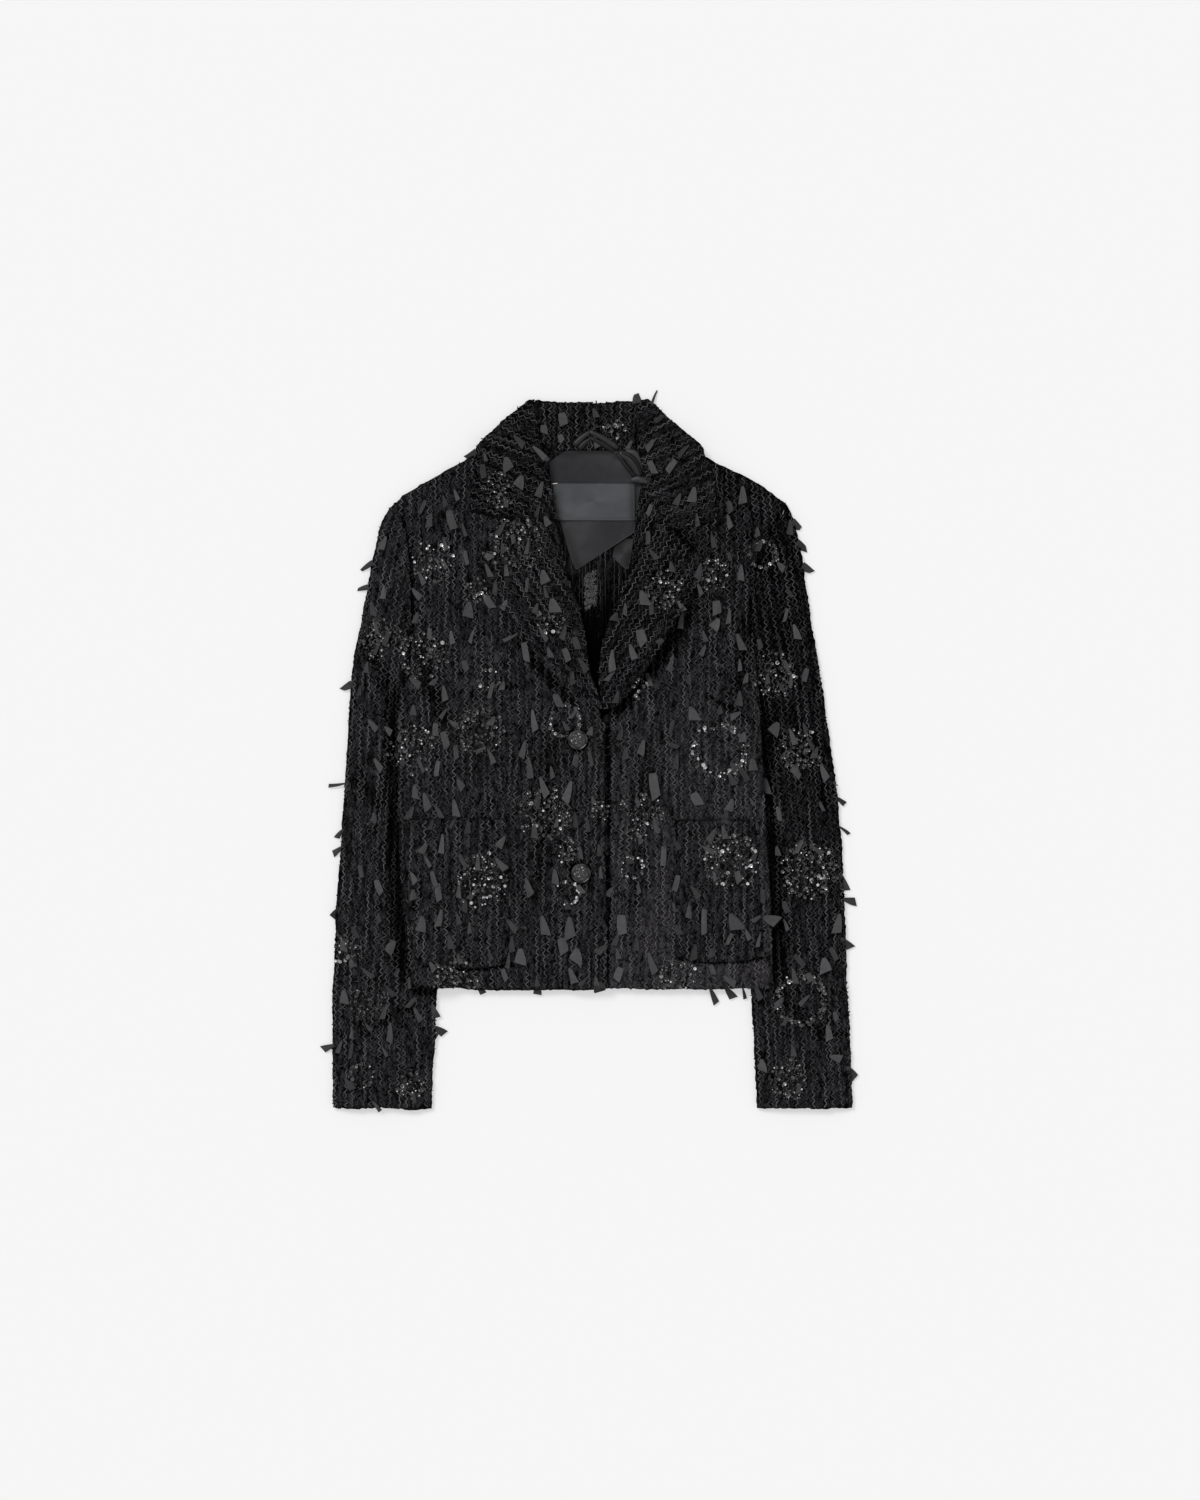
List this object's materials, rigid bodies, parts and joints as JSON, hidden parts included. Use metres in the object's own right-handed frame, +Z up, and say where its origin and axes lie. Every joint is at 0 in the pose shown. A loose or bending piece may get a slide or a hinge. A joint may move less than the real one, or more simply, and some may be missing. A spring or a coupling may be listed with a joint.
{
  "type": "tweed blazer laid flat",
  "caption": "Cropped tweed blazer laid flat on its back, buttoned, with notched lapels, patch pockets, long sleeves beside the body and ribbon yarns with cut ends.",
  "frame": {"origin": "on the table, under the middle of the blazer's bounding box", "axes": "+Z up from the table through the fronts, +Y from the hem towards the collar, +X towards the wearer's left sleeve"},
  "size_m": [0.5436, 0.7344, 0.0185],
  "materials": {
    "tweed": "matte black boucle tweed with grey zigzag yarns",
    "ribbon": "matte charcoal ribbon yarn",
    "lining": "charcoal satin",
    "label": "bare steel-grey satin",
    "button": "dark grey dome with a woven relief"
  },
  "bodies": {
    "root": {"back_right": "tweed", "front_right": "tweed", "under_sleeve_right": "tweed", "upper_sleeve_right": "tweed", "lapel_right": "tweed", "collar_leaf_right": "tweed", "pocket_right": "tweed", "ribbon_front_right_1": "ribbon", "ribbon_front_right_2": "ribbon", "ribbon_front_right_3": "ribbon", "ribbon_sleeve_right_1": "ribbon", "ribbon_sleeve_right_2": "ribbon", "ribbon_lapel_right_1": "ribbon", "back_left": "tweed", "front_left": "tweed", "under_sleeve_left": "tweed", "upper_sleeve_left": "tweed", "lapel_left": "tweed", "collar_leaf_left": "tweed", "pocket_left": "tweed", "ribbon_front_left_1": "ribbon", "ribbon_front_left_2": "ribbon", "ribbon_front_left_3": "ribbon", "ribbon_sleeve_left_1": "ribbon", "ribbon_sleeve_left_2": "ribbon", "ribbon_lapel_left_1": "ribbon", "collar_stand": "tweed", "collar_fall": "tweed", "neck_lining": "lining", "lining_flap": "lining", "label": "label", "hanger_loop": "lining", "button_top": "button", "button_low": "button"}
  },
  "joints": []
}
